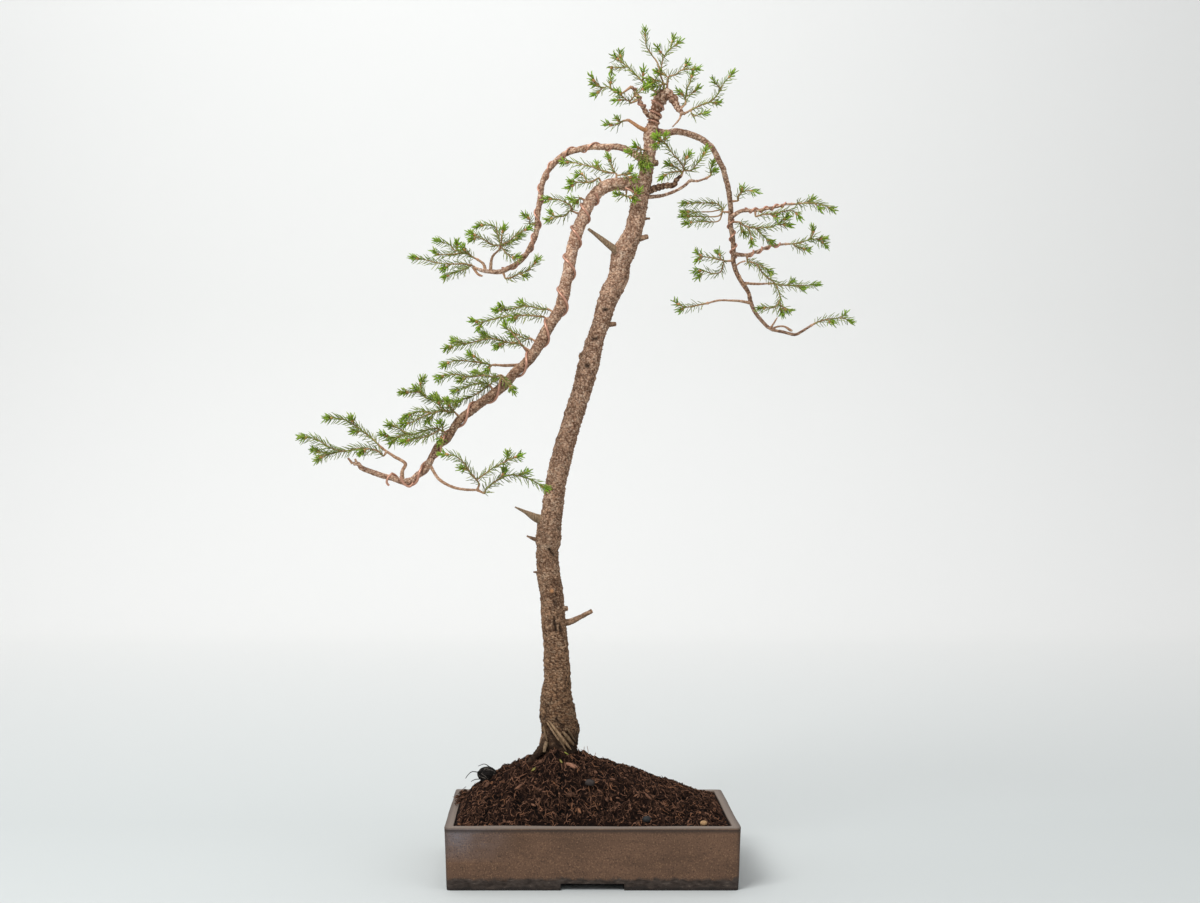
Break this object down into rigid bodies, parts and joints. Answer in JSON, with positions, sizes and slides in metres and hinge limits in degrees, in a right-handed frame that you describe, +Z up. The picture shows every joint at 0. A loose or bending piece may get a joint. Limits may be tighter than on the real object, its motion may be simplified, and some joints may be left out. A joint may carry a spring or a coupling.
{
  "type": "spruce bonsai",
  "caption": "Slender informal bonsai spruce with cascading wired side branches, planted in a mound of peat in a rectangular slab pot.",
  "frame": {"origin": "centre of the pot's underside, on the surface that it stands on", "axes": "+Z up along the tree, +X to the right as seen from the front, -Y towards the viewer at the front of the tree"},
  "size_m": [0.5609, 0.1998, 0.8367],
  "materials": {
    "stoneware": "matte",
    "peat": "matte",
    "bark": "matte",
    "mesh_plastic": "matte",
    "black_fibre": "matte",
    "pale_stone": "matte",
    "dark_stone": "matte",
    "copper_wire": "satin",
    "needles": "satin"
  },
  "bodies": {
    "root": {"pot": "stoneware", "soil": "peat", "wood": "bark", "screen_left": "mesh_plastic", "screen_right": "mesh_plastic", "clod": "black_fibre", "pebble_pale": "pale_stone", "pebble_dark": "dark_stone", "wire_main_left": "copper_wire", "wire_upper_left": "copper_wire", "wire_right": "copper_wire", "wire_apex": "copper_wire", "wire_apex_left": "copper_wire", "wire_right_upper": "copper_wire", "wire_right_lower": "copper_wire", "needles_crown_top": "needles", "needles_crown_front": "needles", "needles_crown_left": "needles", "needles_crown_low_left": "needles", "needles_crown_far_left": "needles", "needles_crown_under": "needles", "needles_crown_right": "needles", "needles_crown_back": "needles", "needles_mid_hub": "needles", "needles_mid_right": "needles", "needles_mid_left": "needles", "needles_inner_top": "needles", "needles_inner_front": "needles", "needles_inner_back": "needles", "needles_inner_low": "needles", "needles_inner_under": "needles", "needles_pad_top": "needles", "needles_pad_inner": "needles", "needles_pad_fan": "needles", "needles_pad_long": "needles", "needles_pad_under": "needles", "needles_lower_a": "needles", "needles_lower_b": "needles", "needles_lower_c": "needles", "needles_lower_d": "needles", "needles_lower_e": "needles", "needles_lower_f": "needles", "needles_lower_g": "needles", "needles_clump_high": "needles", "needles_clump_low": "needles", "needles_far_high": "needles", "needles_far_tip": "needles", "needles_low_left": "needles", "needles_low_right": "needles", "needles_right_top": "needles", "needles_right_under": "needles", "needles_right_high": "needles", "needles_right_mid": "needles", "needles_right_inner": "needles", "needles_right_low_inner": "needles", "needles_right_out": "needles", "needles_right_hang": "needles", "needles_right_back": "needles", "needles_right_low": "needles", "needles_right_end": "needles"}
  },
  "joints": []
}
